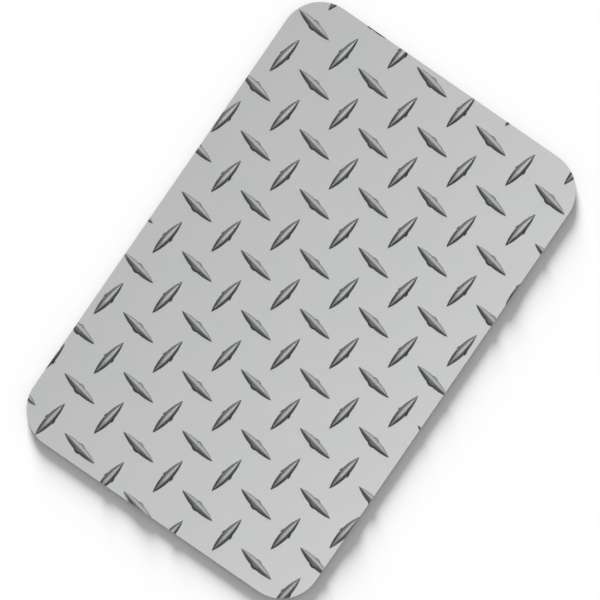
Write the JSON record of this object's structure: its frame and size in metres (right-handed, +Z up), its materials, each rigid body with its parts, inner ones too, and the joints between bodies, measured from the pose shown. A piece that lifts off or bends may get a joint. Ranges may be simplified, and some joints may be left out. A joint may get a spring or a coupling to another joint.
{
  "type": "checker steel plate",
  "caption": "Flat rectangular steel tread plate with round corners, a smooth underside and raised lens-shaped lugs in alternating directions on its upper face.",
  "frame": {"origin": "centre of the flat underside", "axes": "+X along the length, +Y across the width, +Z up out of the lugged face"},
  "size_m": [0.339, 0.22, 0.0063],
  "materials": {
    "steel": "satin mill finish, pale grey, with no paint and no rust"
  },
  "bodies": {
    "root": {"checker_plate": "steel"}
  },
  "joints": []
}
